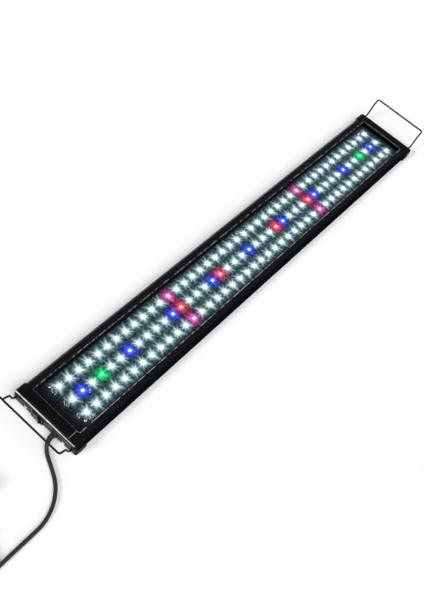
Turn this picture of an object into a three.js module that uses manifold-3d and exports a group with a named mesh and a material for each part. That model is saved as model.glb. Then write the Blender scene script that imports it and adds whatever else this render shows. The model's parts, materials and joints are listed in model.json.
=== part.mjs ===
// LED aquarium light: a slim aluminium body lying on its flat back, lens up, with
// plastic end caps, two sliding wire brackets, a rocker mode switch and a supply lead.
// Millimetres. +X runs along the body to the plain end, the lead and the switch are at -X,
// +Z points out of the lens, and the origin is the centre of the flat back.

import * as THREE from 'three';
import * as BufferGeometryUtils from 'three/addons/utils/BufferGeometryUtils.js';
import Module from 'manifold-3d';

const wasm = await Module();
wasm.setup();

// ---------- driving dimensions ----------

const halfLength = 443.5;        // origin to the outer face of an end cap
const bodyHalfWidth = 57.5;
const extrusionHalfLength = 439.9;
const capHalfWidth = 60.2;
const rimHeight = 20;            // top of the side rails
const shoulderWidth = 3.5;       // bevel between a rail's top and its side
const shoulderDrop = 3;
const capHeight = 21.2;
const coverHeight = 22;
const coverHalfWidth = 40.6;
const capReach = 20;             // length of body that a cap covers
const capWall = 2.4;
const fitGap = 0.3;

const backPlate = 2.2;
const webBottom = 8;
const webTop = 9.6;
const railInner = 44;            // half width of the lens opening
const lensWindowEnd = 423.5;
const notchHalfWidth = 31;       // the middle of each end is cut away for the wiring
const notchStart = 424.5;
const channelRadius = 3.1;       // round channels in the rails, for the bracket legs

const lensHalfLength = 429;
const lensThickness = 2;
const lensBottom = 15.6;
const sealHeight = 1.1;
const grooveDepth = 3;

const ledPitch = 19;
const ledRowSpacing = 26.6;
const ledsPerRow = 43;
const ledFieldOffset = 8;        // the field sits towards the plain end
const ledSize = 5;
const ledHeight = 1.2;
const boardHalfLength = 422.5;
const boardHalfWidth = 41;
const boardThickness = 1.4;

const wireRadius = 1.5;
const legOffset = 52.6;          // half the distance between a bracket's legs
const legHeight = 14.5;
const legLength = 110;           // straight leg, from its stop to the first bend
const kneeRun = 4.5;             // beyond the leg the wire climbs in three slopes
const kneeHeight = 20.5;
const jogRun = 5.5;
const jogHeight = 34.5;
const crossbarRun = 12.4;
const crossbarHeight = 41;
const wireBend = 3.6;
const powerLegOut = 4.5;         // leg drawn out beyond the end face
const farLegOut = 11.5;

const capScrewY = 36;
const capScrewHeight = 5;

const leadRadius = 2.75;
const leadExitY = -19.5;
const leadExitHeight = 8;
const coilCentre = [-638, -58.9];
const coilInner = 18.9;
const coilOuter = 41.5;
const coilHeight = 11.2;         // two layers of three turns

const adapterX = [-628, -568];
const adapterY = [-15, 27];
const adapterHeight = 28;

// ---------- materials ----------

function material(colour, roughness, metalness) {
  return new THREE.MeshStandardMaterial({ color: colour, roughness, metalness });
}

const blackAluminium = material(0x0d0c0f, 0.42, 0.5);
const blackPlastic = material(0x0b0b0c, 0.38, 0);
const blackRubber = material(0x111111, 0.8, 0);
const darkBoard = material(0x0a0a10, 0.35, 0);
const greenBoard = material(0x0d4a2a, 0.5, 0);
const clearLens = new THREE.MeshStandardMaterial({
  color: 0xf2f6f8, roughness: 0.08, metalness: 0, transparent: true, opacity: 0.25,
});
const greyPad = material(0x8f9499, 0.85, 0);
const steel = material(0xb9bcc0, 0.3, 1);
const blackWire = material(0x0c0c0d, 0.35, 0.6);
const redInsulation = material(0x9c1b16, 0.5, 0);
const whiteInsulation = material(0xd8d8d4, 0.5, 0);
const copper = material(0xb8743a, 0.35, 1);

// ---------- building tools ----------

// A closed geometry as a solid, with its faces turned outwards.
function solid(geometry) {
  const bare = geometry.index ? geometry.clone() : geometry;
  bare.deleteAttribute('normal');
  bare.deleteAttribute('uv');
  const merged = BufferGeometryUtils.mergeVertices(bare, 1e-4);
  const places = merged.attributes.position.array;
  const triangles = Uint32Array.from(merged.index.array);
  let volume = 0;
  const a = new THREE.Vector3();
  const b = new THREE.Vector3();
  const c = new THREE.Vector3();
  for (let i = 0; i < triangles.length; i += 3) {
    a.fromArray(places, 3 * triangles[i]);
    b.fromArray(places, 3 * triangles[i + 1]);
    c.fromArray(places, 3 * triangles[i + 2]);
    volume += a.dot(b.cross(c));
  }
  if (volume < 0) {
    for (let i = 0; i < triangles.length; i += 3) {
      [triangles[i + 1], triangles[i + 2]] = [triangles[i + 2], triangles[i + 1]];
    }
  }
  const vertProperties = Float32Array.from(places);
  return new wasm.Manifold(new wasm.Mesh({ numProp: 3, vertProperties, triVerts: triangles }));
}

function named(name, body, finish) {
  const result = body.getMesh();
  const geometry = new THREE.BufferGeometry();
  const places = new THREE.BufferAttribute(Float32Array.from(result.vertProperties), 3);
  geometry.setAttribute('position', places);
  geometry.setIndex(new THREE.BufferAttribute(Uint32Array.from(result.triVerts), 1));
  geometry.computeVertexNormals();
  const mesh = new THREE.Mesh(geometry, finish);
  mesh.name = name;
  return mesh;
}

function boxGeometry([x0, x1], [y0, y1], [z0, z1]) {
  const geometry = new THREE.BoxGeometry(x1 - x0, y1 - y0, z1 - z0);
  geometry.translate((x0 + x1) / 2, (y0 + y1) / 2, (z0 + z1) / 2);
  return geometry;
}

function box(xSpan, ySpan, zSpan) {
  return solid(boxGeometry(xSpan, ySpan, zSpan));
}

// A section drawn in Y and Z, run along X.
function alongX(section, x0, x1) {
  const geometry = new THREE.ExtrudeGeometry(section, {
    depth: x1 - x0, bevelEnabled: false, steps: 1,
  });
  const turn = new THREE.Matrix4().makeBasis(
    new THREE.Vector3(0, 1, 0), new THREE.Vector3(0, 0, 1), new THREE.Vector3(1, 0, 0),
  );
  geometry.applyMatrix4(turn);
  geometry.translate(x0, 0, 0);
  return solid(geometry);
}

// A section drawn in X and Z, run along Y.
function alongY(section, y0, y1) {
  const geometry = new THREE.ExtrudeGeometry(section, {
    depth: y1 - y0, bevelEnabled: false, steps: 1,
  });
  geometry.rotateX(Math.PI / 2);
  geometry.translate(0, y1, 0);
  return solid(geometry);
}

// A section drawn in X and Y, run up along Z.
function alongZ(section, z0, z1) {
  const geometry = new THREE.ExtrudeGeometry(section, {
    depth: z1 - z0, bevelEnabled: false, steps: 1,
  });
  geometry.translate(0, 0, z0);
  return solid(geometry);
}

// A turned piece: profile is [radius, distance along the axis] pairs.
function turnedGeometry(profile, segments) {
  const points = profile.map(([radius, along]) => new THREE.Vector2(radius, along));
  return new THREE.LatheGeometry(points, segments);
}

function turnedAlongX(profile, [x, y, z], segments = 12) {
  return solid(turnedGeometry(profile, segments).rotateZ(-Math.PI / 2).translate(x, y, z));
}

function turnedAlongY(profile, [x, y, z], segments = 12) {
  return solid(turnedGeometry(profile, segments).translate(x, y, z));
}

function turnedAlongZ(profile, [x, y, z], segments = 12) {
  return solid(turnedGeometry(profile, segments).rotateX(Math.PI / 2).translate(x, y, z));
}

function rodProfile(radius, start, end) {
  return [[0, start], [radius, start], [radius, end], [0, end]];
}

function ringProfile(inner, outer, start, end) {
  return [[inner, start], [outer, start], [outer, end], [inner, end], [inner, start]];
}

function arcPoints(x, y, radius, from, to, segments) {
  const points = [];
  for (let i = 0; i <= segments; i += 1) {
    const angle = from + (to - from) * i / segments;
    points.push(new THREE.Vector2(x + radius * Math.cos(angle), y + radius * Math.sin(angle)));
  }
  return points;
}

function circlePoints(x, y, radius, sides) {
  return arcPoints(x, y, radius, 0, 2 * Math.PI, sides).slice(0, sides);
}

function rectangle(x0, x1, y0, y1) {
  return new THREE.Shape([
    new THREE.Vector2(x0, y0), new THREE.Vector2(x1, y0),
    new THREE.Vector2(x1, y1), new THREE.Vector2(x0, y1),
  ]);
}

function roundHole(x, y, radius, sides = 12) {
  return new THREE.Path(circlePoints(x, y, radius, sides).reverse());
}

function roundedRectangle(x0, x1, y0, y1, radius, segments = 3) {
  const quarter = Math.PI / 2;
  return new THREE.Shape([
    ...arcPoints(x1 - radius, y0 + radius, radius, -quarter, 0, segments),
    ...arcPoints(x1 - radius, y1 - radius, radius, 0, quarter, segments),
    ...arcPoints(x0 + radius, y1 - radius, radius, quarter, 2 * quarter, segments),
    ...arcPoints(x0 + radius, y0 + radius, radius, 2 * quarter, 3 * quarter, segments),
  ]);
}

// A route through given points, stepped exactly at those points.
class Route extends THREE.Curve {
  constructor(points) {
    super();
    this.points = points;
  }

  getPoint(t, target = new THREE.Vector3()) {
    const place = Math.min(t, 1) * (this.points.length - 1);
    const first = Math.min(Math.floor(place), this.points.length - 2);
    return target.copy(this.points[first]).lerp(this.points[first + 1], place - first);
  }

  getPointAt(u, target) {
    return this.getPoint(u, target);
  }

  getTangentAt(u, target = new THREE.Vector3()) {
    const last = this.points.length - 1;
    const here = Math.round(u * last);
    const before = this.points[Math.max(here - 1, 0)];
    const at = this.points[here];
    const after = this.points[Math.min(here + 1, last)];
    const into = at.clone().sub(before).normalize();
    const onward = after.clone().sub(at).normalize();
    return target.copy(into).add(onward).normalize();
  }
}

function tube(points, radius, sides) {
  const section = new THREE.Shape(circlePoints(0, 0, radius, sides));
  const geometry = new THREE.ExtrudeGeometry(section, {
    steps: points.length - 1,
    extrudePath: new Route(points),
    bevelEnabled: false,
  });
  return solid(geometry);
}

// Corner points joined by straight runs, each inner corner rounded to a radius.
function roundedRoute(corners, radius, segments) {
  const points = [corners[0].clone()];
  for (let i = 1; i < corners.length - 1; i += 1) {
    const corner = corners[i];
    const back = corners[i - 1].clone().sub(corner).normalize();
    const onward = corners[i + 1].clone().sub(corner).normalize();
    const halfAngle = back.angleTo(onward) / 2;
    const centreLine = back.clone().add(onward).normalize();
    const centre = corner.clone().addScaledVector(centreLine, radius / Math.sin(halfAngle));
    const start = corner.clone().addScaledVector(back, radius / Math.tan(halfAngle));
    const end = corner.clone().addScaledVector(onward, radius / Math.tan(halfAngle));
    const from = start.clone().sub(centre);
    const to = end.clone().sub(centre);
    const sweep = from.angleTo(to);
    for (let k = 0; k <= segments; k += 1) {
      const share = k / segments;
      const arm = from.clone().multiplyScalar(Math.sin((1 - share) * sweep));
      arm.addScaledVector(to, Math.sin(share * sweep));
      arm.divideScalar(Math.sin(sweep));
      points.push(centre.clone().add(arm));
    }
  }
  points.push(corners[corners.length - 1].clone());
  return points;
}

function vectors(list) {
  return list.map(([x, y, z]) => new THREE.Vector3(x, y, z));
}

// The same span measured from the middle, on the left or the right of it.
function mirroredSpan(near, far, side) {
  return side > 0 ? [near, far] : [-far, -near];
}

function outline(list) {
  return new THREE.Shape(list.map(([x, y]) => new THREE.Vector2(x, y)));
}

// Half an outline and its mirror image, as one closed outline.
function symmetricOutline(half) {
  const mirrored = half.slice().reverse().map(([y, z]) => [-y, z]);
  return outline(half.concat(mirrored));
}

const model = new THREE.Group();

// ---------- body extrusion ----------

const finPitch = 8;
const finGroove = 3;
const finDepth = 0.8;
const finsPerSide = 6;
const footBevel = 1.5;
const sealGap = 0.1;
const capScrewBore = 1.7;
const capScrewDepth = 14;
const boardScrewBore = 1.8;
const boardScrewDepth = 2.2;
const chambers = [[1, 32.2], [39, 55.5]];   // hollow from y to y, on both sides

const boardScrewPlaces = [];
for (const pitches of [-21.5, 0.5, 20.5]) {
  for (const side of [1, -1]) {
    boardScrewPlaces.push([pitches * ledPitch + ledFieldOffset, side * 34.5]);
  }
}

function bodySection() {
  const grooveTop = lensBottom + lensThickness + fitGap;
  const grooveBottom = lensBottom - sealHeight - 2 * sealGap;
  const half = [];
  for (let i = 1; i <= finsPerSide; i += 1) {
    const y = i * finPitch;
    half.push([y - finGroove / 2, 0]);
    half.push([y - finGroove / 2, finDepth]);
    half.push([y + finGroove / 2, finDepth]);
    half.push([y + finGroove / 2, 0]);
  }
  half.push([bodyHalfWidth - footBevel, 0]);
  half.push([bodyHalfWidth, footBevel]);
  half.push([bodyHalfWidth, rimHeight - shoulderDrop]);
  half.push([bodyHalfWidth - shoulderWidth, rimHeight]);
  half.push([railInner, rimHeight]);
  half.push([railInner, grooveTop]);
  half.push([railInner + grooveDepth, grooveTop]);
  half.push([railInner + grooveDepth, grooveBottom]);
  half.push([railInner, grooveBottom]);
  half.push([railInner, webTop]);
  return symmetricOutline(half);
}

function bodyExtrusion() {
  const beyond = 1;
  const through = [-extrusionHalfLength - beyond, extrusionHalfLength + beyond];
  let body = alongX(bodySection(), -extrusionHalfLength, extrusionHalfLength);
  for (const side of [-1, 1]) {
    for (const [near, far] of chambers) {
      body = body.subtract(box(through, mirroredSpan(near, far, side), [backPlate, webBottom]));
    }
    const channel = rodProfile(channelRadius, through[0], through[1]);
    body = body.subtract(turnedAlongX(channel, [0, side * legOffset, legHeight]));
    const notch = mirroredSpan(notchStart, halfLength, side);
    body = body.subtract(box(notch, [-notchHalfWidth, notchHalfWidth],
      [backPlate, rimHeight + beyond]));
    const [boreStart, boreEnd] = mirroredSpan(
      extrusionHalfLength - capScrewDepth, extrusionHalfLength + beyond, side,
    );
    for (const y of [-capScrewY, capScrewY]) {
      const bore = rodProfile(capScrewBore, boreStart, boreEnd);
      body = body.subtract(turnedAlongX(bore, [0, y, capScrewHeight], 8));
    }
  }
  for (const [x, y] of boardScrewPlaces) {
    const bore = rodProfile(boardScrewBore, webBottom - boardScrewDepth, webTop + beyond);
    body = body.subtract(turnedAlongZ(bore, [x, y, 0], 8));
  }
  return body;
}

model.add(named('body_extrusion', bodyExtrusion(), blackAluminium));

// ---------- LED board, pad, lens and seals ----------

const padBottom = webTop + 0.05;
const padTop = webTop + 0.35;
const padHalfWidth = 38;
const padHoleRadius = 2.2;
const boardBottom = webTop + 0.4;
const boardTop = boardBottom + boardThickness;
const packageSink = 0.5;         // depth of a package joined into the board

function ledPlaces() {
  const places = [];
  for (const row of [-1, 0, 1]) {
    for (let i = 0; i < ledsPerRow; i += 1) {
      const x = (i - (ledsPerRow - 1) / 2) * ledPitch + ledFieldOffset;
      places.push([x, row * ledRowSpacing]);
    }
  }
  return places;
}

function sheetWithHoles(halfWidth, bottom, top, holeRadius) {
  let sheet = box([-boardHalfLength, boardHalfLength], [-halfWidth, halfWidth], [bottom, top]);
  for (const [holeX, holeY] of boardScrewPlaces) {
    const hole = rodProfile(holeRadius, bottom - 1, top + 1);
    sheet = sheet.subtract(turnedAlongZ(hole, [holeX, holeY, 0], 8));
  }
  return sheet;
}

function ledBoard() {
  const packages = ledPlaces().map(([x, y]) => boxGeometry(
    [x - ledSize / 2, x + ledSize / 2],
    [y - ledSize / 2, y + ledSize / 2],
    [boardTop - packageSink, boardTop + ledHeight],
  ));
  const board = sheetWithHoles(boardHalfWidth, boardBottom, boardTop, boardScrewBore);
  return board.add(solid(BufferGeometryUtils.mergeGeometries(packages)));
}

function boardScrew([x, y]) {
  const profile = [
    [0, -5], [1.4, -5], [1.4, 0.1], [2.8, 0.1], [2.8, 1.1], [1.8, 1.9], [0, 1.9],
  ];
  return turnedAlongZ(profile, [x, y, boardTop], 10);
}

function lensPanel() {
  const halfWidth = railInner + grooveDepth - 0.4;
  return box([-lensHalfLength, lensHalfLength], [-halfWidth, halfWidth],
    [lensBottom, lensBottom + lensThickness]);
}

function lensSeal(side) {
  const span = mirroredSpan(railInner + 0.4, railInner + grooveDepth - 0.2, side);
  const top = lensBottom - sealGap;
  return box([-lensHalfLength, lensHalfLength], span, [top - sealHeight, top]);
}

const thermalPad = sheetWithHoles(padHalfWidth, padBottom, padTop, padHoleRadius);
model.add(named('led_board', ledBoard(), darkBoard));
model.add(named('thermal_pad', thermalPad, greyPad));
boardScrewPlaces.forEach((place, index) => {
  model.add(named(`board_screw_${index + 1}`, boardScrew(place), steel));
});
model.add(named('lens_panel', lensPanel(), clearLens));
model.add(named('lens_seal_left', lensSeal(1), blackRubber));
model.add(named('lens_seal_right', lensSeal(-1), blackRubber));

// ---------- end caps ----------
// Each end is drawn with its outer face towards +x. The power end is turned half a
// circle about Z, so there a local y is the opposite of the model's Y.

const capStart = halfLength - capReach;
const capCorner = 4;
const capFoot = 3;               // bevel along a cap's lower edges
const capShoulder = 3.6;         // bevel along its upper edges
const capGrooves = [8, 15.2];    // heights of the two lines pressed round a cap
const capGrooveDepth = 0.7;
const capGrooveHeight = 1;
const lipLength = 1.8;
const tongueX = [432.4, 438.2];  // tongues under the cover, in slots of the cap
const tongueY = 30;
const tongueThickness = 1.2;
const bushHoleRadius = 2.9;
const screwHeadRadius = 2.9;

// The cap's outside is where three outlines meet: across it, along it and from above.
function capOutside() {
  const wide = capHalfWidth + 10;
  const top = capHeight + 1;
  const across = symmetricOutline([
    [capHalfWidth - 2, 0], [capHalfWidth, capFoot], [capHalfWidth, capHeight - capShoulder],
    [capHalfWidth - 2.7, capHeight - 0.8], [capHalfWidth - 3.2, capHeight - 0.8],
    [capHalfWidth - 6.2, capHeight],
  ]);
  const lengthwise = outline([
    [capStart, 0], [halfLength - 2, 0], [halfLength, capFoot],
    [halfLength, capHeight - capShoulder], [halfLength - 2.9, capHeight - 0.6],
    [halfLength - 3.5, capHeight], [capStart, capHeight],
  ]);
  const plan = roundedRectangle(capStart - 20, halfLength, -capHalfWidth, capHalfWidth, capCorner);
  let outside = alongX(across, capStart, halfLength + 1);
  outside = outside.intersect(alongY(lengthwise, -wide, wide));
  outside = outside.intersect(alongZ(plan, -1, top));
  const beyond = roundedRectangle(capStart - 20, halfLength + 2, -wide, wide, capCorner);
  const inner = capHalfWidth - capGrooveDepth;
  const kept = roundedRectangle(capStart - 21, halfLength - capGrooveDepth, -inner, inner,
    capCorner - capGrooveDepth);
  for (const height of capGrooves) {
    const bottom = height - capGrooveHeight / 2;
    const slice = alongZ(beyond, bottom, bottom + capGrooveHeight);
    outside = outside.subtract(slice.subtract(alongZ(kept, 0, top)));
  }
  return outside;
}

// The room inside a cap for the end of the body, with an even gap all round.
function bodyEnvelope() {
  const wide = bodyHalfWidth + fitGap;
  const flat = bodyHalfWidth - shoulderWidth + fitGap / 2;
  const bevelFoot = rimHeight - shoulderDrop + fitGap / 2;
  const section = symmetricOutline([[wide, -1], [wide, bevelFoot], [flat, rimHeight + fitGap]]);
  return alongX(section, capStart - 10, halfLength - capWall);
}

function endCap() {
  let cap = capOutside().subtract(bodyEnvelope());
  const lipHalfWidth = railInner - fitGap;
  const lipSpan = [-lipHalfWidth, lipHalfWidth];
  cap = cap.subtract(box([capStart - 10, lensWindowEnd], lipSpan, [-1, capHeight + 1]));
  cap = cap.add(box([lensWindowEnd, lensWindowEnd + lipLength], lipSpan,
    [lensBottom + lensThickness + fitGap, rimHeight + 0.8]));
  const screwHole = [[0, 0], [1.8, 0], [1.8, 4.6], [3.3, 4.6], [3.3, 9], [0, 9]];
  const slotHalf = tongueThickness / 2 + 0.4;
  for (const side of [-1, 1]) {
    cap = cap.subtract(turnedAlongX(rodProfile(bushHoleRadius, 0, 10),
      [halfLength - 6, side * legOffset, legHeight]));
    cap = cap.subtract(turnedAlongX(screwHole,
      [halfLength - 6, side * capScrewY, capScrewHeight]));
    cap = cap.subtract(box([tongueX[0] - 0.4, tongueX[1] + 0.4],
      [side * tongueY - slotHalf, side * tongueY + slotHalf], [rimHeight, capHeight + 1]));
  }
  return cap;
}

function capCover() {
  const plate = roundedRectangle(lensWindowEnd + 0.2, halfLength - 4,
    -coverHalfWidth, coverHalfWidth, 1);
  let cover = alongZ(plate, capHeight + 0.05, coverHeight);
  for (const side of [-1, 1]) {
    cover = cover.add(box(tongueX,
      [side * tongueY - tongueThickness / 2, side * tongueY + tongueThickness / 2],
      [rimHeight - 1.5, capHeight + 0.4]));
  }
  return cover;
}

function capGasket() {
  const through = [extrusionHalfLength - 1, halfLength];
  const wide = bodyHalfWidth - 1;
  const flat = bodyHalfWidth - shoulderWidth - 0.4;
  const section = symmetricOutline([
    [wide, 0.6], [wide, rimHeight - shoulderDrop - 0.5], [flat, rimHeight - 0.6],
  ]);
  let ring = alongX(section, extrusionHalfLength + 0.1, halfLength - capWall - 0.1);
  ring = ring.subtract(box(through, [-notchHalfWidth, notchHalfWidth],
    [backPlate + 0.6, rimHeight - 2]));
  for (const side of [-1, 1]) {
    const legHole = rodProfile(bushHoleRadius + 0.1, through[0], through[1]);
    const screwHole = rodProfile(2, through[0], through[1]);
    ring = ring.subtract(turnedAlongX(legHole, [0, side * legOffset, legHeight]));
    ring = ring.subtract(turnedAlongX(screwHole, [0, side * capScrewY, capScrewHeight], 8));
  }
  return ring;
}

function capScrew(side) {
  const profile = [
    [0, -12], [1.5, -12], [1.5, 0], [screwHeadRadius, 0], [screwHeadRadius, 0.8],
    [2, 1.3], [0, 1.3],
  ];
  return turnedAlongX(profile, [halfLength - 1.35, side * capScrewY, capScrewHeight], 10);
}

// ---------- wire brackets ----------

const bushReach = 7;             // length of a leg bush inside the cap's outer face
const stopLength = 5;
const stubLength = 4.5;

function bracketCorners(legOut) {
  const legEnd = halfLength + legOut - legLength;
  const legStart = halfLength + legOut;
  const knee = legStart + kneeRun;
  const jog = knee + jogRun;
  const crossbar = jog + crossbarRun;
  return vectors([
    [legEnd, -legOffset, legHeight],
    [legStart, -legOffset, legHeight],
    [knee, -legOffset, kneeHeight],
    [jog, -legOffset, jogHeight],
    [crossbar, -legOffset, crossbarHeight],
    [crossbar, legOffset, crossbarHeight],
    [jog, legOffset, jogHeight],
    [knee, legOffset, kneeHeight],
    [legStart, legOffset, legHeight],
    [legEnd, legOffset, legHeight],
  ]);
}

// The blob left where the power end's wire is cut off, past one end of its crossbar.
function crossbarStub(legOut) {
  const x = halfLength + legOut + kneeRun + jogRun + crossbarRun;
  const profile = [
    [0, -stubLength - 0.6], [1.2, -stubLength - 0.3], [1.9, -stubLength + 0.6],
    [wireRadius - 0.1, -stubLength + 2], [wireRadius - 0.1, wireBend], [0, wireBend],
  ];
  return turnedAlongY(profile, [x, -legOffset, crossbarHeight], 8);
}

function legBush(side) {
  const profile = [
    [1.75, -bushReach], [2.6, -bushReach], [2.6, 0.2], [3.2, 0.2], [3.2, 1], [1.75, 1],
    [1.75, -bushReach],
  ];
  return turnedAlongX(profile, [halfLength, side * legOffset, legHeight]);
}

function legStop(side, legOut) {
  const start = halfLength + legOut - legLength + 2;
  return turnedAlongX(ringProfile(wireRadius + 0.3, 2.75, 0, stopLength),
    [start, side * legOffset, legHeight]);
}

// ---------- power end: switch, wiring, lead gland ----------

const switchY = -12.5;           // local to the power end, as all of this part is
const switchHeight = 10.4;
const switchHalfWidth = 9.5;
const switchHalfHeight = 6.4;
const switchFlange = 1;          // rim of the switch beyond its opening
const switchWall = 1;
const switchBack = 431;
const pivotX = halfLength - 2.4;
const rockerHalfLength = 6.9;
const rockerHalfWidth = 5;
const rockerHeight = 6;          // pivot to the end of a lobe
const rockerDepth = 3.6;
const switchTilt = 12 * Math.PI / 180;
const terminalPitch = 6;
const terminalX = [427.4, 430.8];

const glandY = -leadExitY;
const glandBore = 3;
const coreRadius = 0.7;
const blockY = [22, 29.7];
const blockX = [426.5, 432.5];
const junctionX = [425.5, 433.8];
const junctionTop = 4.6;

function switchBody() {
  const wide = switchHalfWidth + switchFlange;
  const high = switchHalfHeight + switchFlange;
  const flange = box([halfLength + 0.1, halfLength + 1.9], [switchY - wide, switchY + wide],
    [switchHeight - high, switchHeight + high]);
  const block = box([switchBack, halfLength + 0.5],
    [switchY - switchHalfWidth, switchY + switchHalfWidth],
    [switchHeight - switchHalfHeight, switchHeight + switchHalfHeight]);
  const pocketWide = switchHalfWidth - switchWall - 0.1;
  const pocketHigh = switchHalfHeight - switchWall;
  const pocket = box([switchBack + 3, halfLength + 10],
    [switchY - pocketWide, switchY + pocketWide],
    [switchHeight - pocketHigh, switchHeight + pocketHigh]);
  const pinHole = turnedAlongZ(rodProfile(1.1, -6, 6), [pivotX, switchY, switchHeight], 10);
  return flange.add(block).subtract(pocket).subtract(pinHole);
}

function switchRocker() {
  const saddle = rockerHeight - rockerHalfLength * Math.tan(switchTilt);
  const section = outline([
    [-7.6, 0.5], [-3, -rockerDepth], [3, -rockerDepth], [7.6, 0.5],
    [rockerHalfLength, rockerHeight], [0, saddle], [-rockerHalfLength, rockerHeight],
  ]);
  section.holes.push(roundHole(0, 0, 1.3, 10));
  const geometry = new THREE.ExtrudeGeometry(section, {
    depth: 2 * rockerHalfWidth, bevelEnabled: false, steps: 1,
  });
  geometry.translate(0, 0, -rockerHalfWidth);
  geometry.rotateZ(-Math.PI / 2 - switchTilt);
  geometry.translate(pivotX, switchY, switchHeight);
  return solid(geometry);
}

function switchPin() {
  return turnedAlongZ(rodProfile(1, -5.9, 5.9), [pivotX, switchY, switchHeight], 10);
}

function switchTerminal(index) {
  const y = switchY + (index - 2) * terminalPitch;
  return box(terminalX, [y - 1.6, y + 1.6], [switchHeight - 0.4, switchHeight + 0.4]);
}

// From the tip of a terminal, along the cap, down to the junction board.
function switchWire(index) {
  const x = terminalX[0] - 1;
  const start = switchY + (index - 2) * terminalPitch;
  const height = switchHeight - 1.8 * (3 - index);
  const landing = 9.6 + 2.4 * index;
  return tube(vectors([
    [x, start - 1, switchHeight], [x, start + 1, switchHeight], [x, start + 3.5, height],
    [x, landing - 2, height], [x, landing - 0.6, height - 0.6], [x, landing, height - 1.2],
    [x, landing, junctionTop + fitGap],
  ]), 0.6, 8);
}

function leadGland() {
  const profile = [
    [glandBore, -9], [4, -9], [4, 0.1], [5.4, 0.1], [5.4, 2.2], [4.4, 2.6], [glandBore, 2.6],
    [glandBore, -9],
  ];
  return turnedAlongX(profile, [halfLength, glandY, leadExitHeight]);
}

function leadCore(sideways, height, endX) {
  const y = glandY + sideways;
  return tube(vectors([
    [440.5, y, height], [434.4, y, height], [432.4, y + 0.3, height],
    [endX + 0.4, y + 1.6, height], [endX, blockY[0] - fitGap, height],
  ]), coreRadius, 8);
}

// From the terminal block over the edge of the LED board to its solder pads.
function boardWire(y) {
  const height = boardTop + coreRadius + fitGap;
  return tube(vectors([
    [blockX[0] - fitGap, y, 10.6], [424.9, y, 11.2], [423.4, y, height], [421.2, y, height],
  ]), coreRadius, 8);
}

const ends = [
  { label: 'power', turn: Math.PI, legOut: powerLegOut, sides: { left: -1, right: 1 } },
  { label: 'far', turn: 0, legOut: farLegOut, sides: { left: 1, right: -1 } },
];

for (const end of ends) {
  const group = new THREE.Group();
  group.rotation.z = end.turn;
  model.add(group);

  let cap = endCap();
  let wire = tube(roundedRoute(bracketCorners(end.legOut), wireBend, 3), wireRadius, 8);
  if (end.label === 'power') {
    const wide = switchHalfWidth + fitGap;
    const high = switchHalfHeight + fitGap;
    cap = cap.subtract(box([switchBack - 1, halfLength + 1], [switchY - wide, switchY + wide],
      [switchHeight - high, switchHeight + high]));
    cap = cap.subtract(turnedAlongX(rodProfile(4 + fitGap, -6, 2),
      [halfLength, glandY, leadExitHeight]));
    wire = wire.add(crossbarStub(end.legOut));
  }
  group.add(named(`end_cap_${end.label}`, cap, blackPlastic));
  group.add(named(`cap_cover_${end.label}`, capCover(), blackPlastic));
  group.add(named(`cap_gasket_${end.label}`, capGasket(), blackRubber));
  group.add(named(`bracket_${end.label}`, wire, blackWire));
  for (const [label, side] of Object.entries(end.sides)) {
    group.add(named(`cap_screw_${end.label}_${label}`, capScrew(side), steel));
    group.add(named(`leg_bush_${end.label}_${label}`, legBush(side), blackRubber));
    group.add(named(`leg_stop_${end.label}_${label}`, legStop(side, end.legOut), steel));
  }
  if (end.label === 'power') {
    group.add(named('switch_body', switchBody(), blackPlastic));
    group.add(named('switch_rocker', switchRocker(), blackPlastic));
    group.add(named('switch_pin', switchPin(), steel));
    for (const index of [1, 2, 3]) {
      group.add(named(`switch_terminal_${index}`, switchTerminal(index), copper));
      group.add(named(`switch_wire_${index}`, switchWire(index), blackRubber));
    }
    group.add(named('lead_gland', leadGland(), blackRubber));
    group.add(named('junction_board', box(junctionX, [10, 30.4], [3, junctionTop]), greenBoard));
    group.add(named('terminal_block', box(blockX, blockY, [4.9, 12]), whiteInsulation));
    group.add(named('lead_core_positive', leadCore(-1.2, 9.2, 430.8), redInsulation));
    group.add(named('lead_core_negative', leadCore(-0.9, 6.8, 428.2), blackRubber));
    group.add(named('board_wire_positive', boardWire(24), redInsulation));
    group.add(named('board_wire_negative', boardWire(27.5), blackRubber));
  }
}

// ---------- supply lead, coil and plug-in adapter ----------

const leadSides = 12;
const reliefRadius = 3.9;

// Centre line of the moulded sleeve where the lead leaves the gland.
const reliefRoute = [
  [-446.4, -19.5, 8], [-450.4, -19.5, 8], [-455.4, -21, 7.7], [-459.6, -23.2, 6.8],
  [-462.9, -25.6, 5.8], [-463.6, -26.5, 5.5],
];

// Centre line of the lead over the floor, from the sleeve to its coil.
const leadRoute = [
  [-463.85, -26.8, 5.4], [-468.8, -33.2, 3.3], [-472.7, -41, 2.8], [-480.6, -56.4, 2.8],
  [-485.2, -64.3, 2.8], [-490.8, -71.6, 2.8], [-497.2, -78.1, 2.8], [-504.4, -83.8, 2.8],
  [-512.2, -88.6, 2.8], [-520.6, -92.4, 2.8], [-529.3, -95.2, 2.8], [-538.3, -96.9, 2.8],
  [-547.5, -97.4, 2.8], [-561.3, -97.4, 2.8], [-575, -97.4, 2.8], [-588.8, -97.4, 2.8],
  [-602.6, -97.4, 2.8], [-616.4, -97.4, 2.8],
];

// Centre line from the top of the coil, down to the floor and into the adapter.
const tailRoute = [
  [-676.5, -37.1, 8.25], [-676.5, -30.5, 6.4], [-676.5, -24, 4.6], [-675.5, -16.2, 3.4],
  [-672.5, -9, 2.8], [-667.7, -2.8, 2.8], [-661.5, 2, 3.4], [-654.3, 5, 5.4],
  [-648.5, 5.9, 7.4], [-645.5, 6, 8], [-643.5, 6, 8],
];

const adapterWall = 2.2;
const adapterSplit = 14;         // height where the adapter's two shells meet
const adapterCorner = 5;
const adapterCordHeight = 8;
const adapterMiddleY = (adapterY[0] + adapterY[1]) / 2;
const bladeSpacing = 12.7;
const bladeThickness = 1.5;
const bladeWidth = 6.3;
const bladeLength = 17;

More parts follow.
